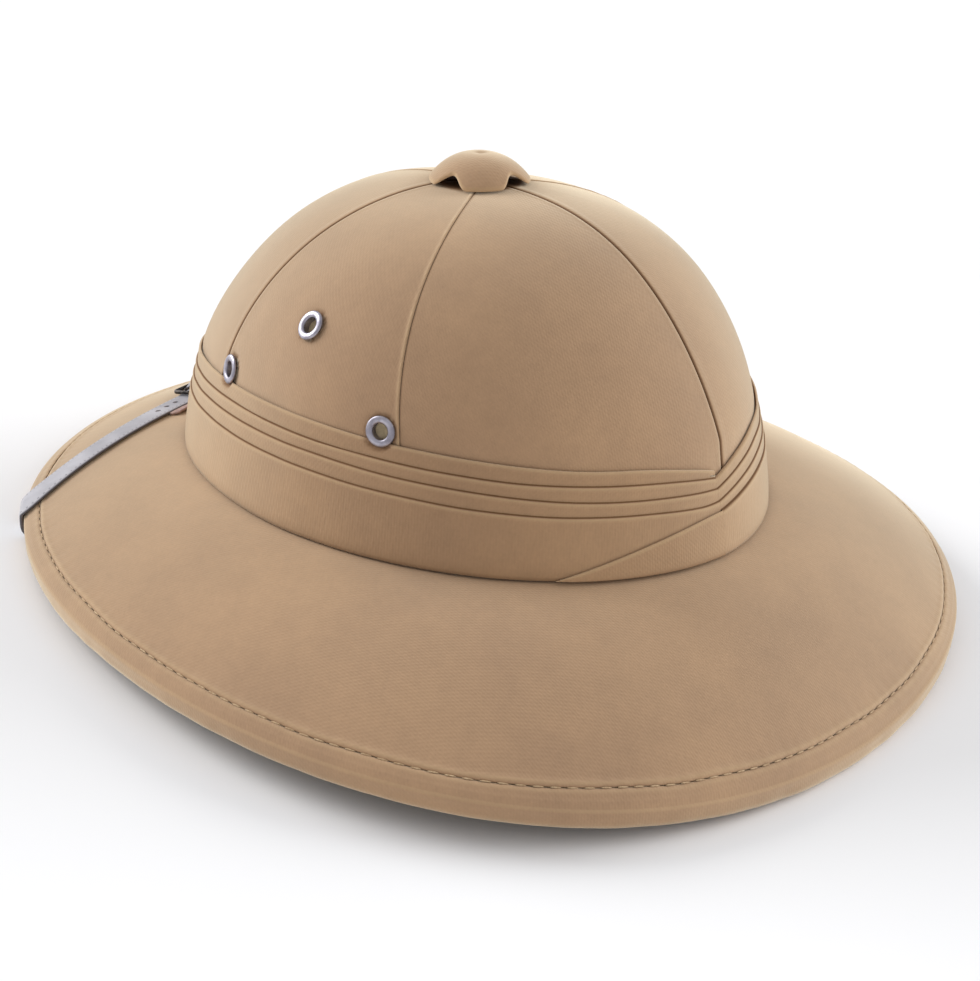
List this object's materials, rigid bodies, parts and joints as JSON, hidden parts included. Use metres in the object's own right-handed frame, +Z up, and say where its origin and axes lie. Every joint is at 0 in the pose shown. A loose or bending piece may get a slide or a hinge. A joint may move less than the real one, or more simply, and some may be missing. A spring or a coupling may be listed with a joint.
{
  "type": "pith helmet",
  "caption": "Khaki cloth-covered pith helmet with a pleated band, vent cap, nickel eyelets and a buckled grey leather chin strap over its front brim.",
  "frame": {"origin": "centre of the bounding box in plan, at the surface that the helmet rests on", "axes": "+Z up as it rests, -Y towards the wearer's front, +X towards the wearer's left"},
  "size_m": [0.3192, 0.3323, 0.1475],
  "materials": {
    "khaki_cloth": "plain cotton drill, matt",
    "band_cloth": "plain cotton, folded in pleats, matt",
    "moulded_shell": "pressed plant fibre, matt",
    "nickel": "nickel plate, satin",
    "grey_leather": "smooth, matt",
    "dark_steel": "blackened"
  },
  "bodies": {
    "root": {"shell": "moulded_shell", "crown_panel_left": "khaki_cloth", "crown_panel_back_left": "khaki_cloth", "crown_panel_back_right": "khaki_cloth", "crown_panel_right": "khaki_cloth", "crown_panel_front_right": "khaki_cloth", "crown_panel_front_left": "khaki_cloth", "brim_cover": "khaki_cloth", "brim_binding": "khaki_cloth", "band": "band_cloth", "band_end": "band_cloth", "vent_cap": "khaki_cloth", "cap_post": "nickel", "eyelet_left_front": "nickel", "eyelet_left_top": "nickel", "eyelet_left_back": "nickel", "eyelet_right_front": "nickel", "eyelet_right_top": "nickel", "eyelet_right_back": "nickel", "chin_strap_tongue": "grey_leather", "chin_strap_buckle_side": "grey_leather", "strap_buckle": "dark_steel", "buckle_prong": "dark_steel", "strap_rivet_left": "dark_steel", "strap_rivet_right": "dark_steel"}
  },
  "joints": []
}
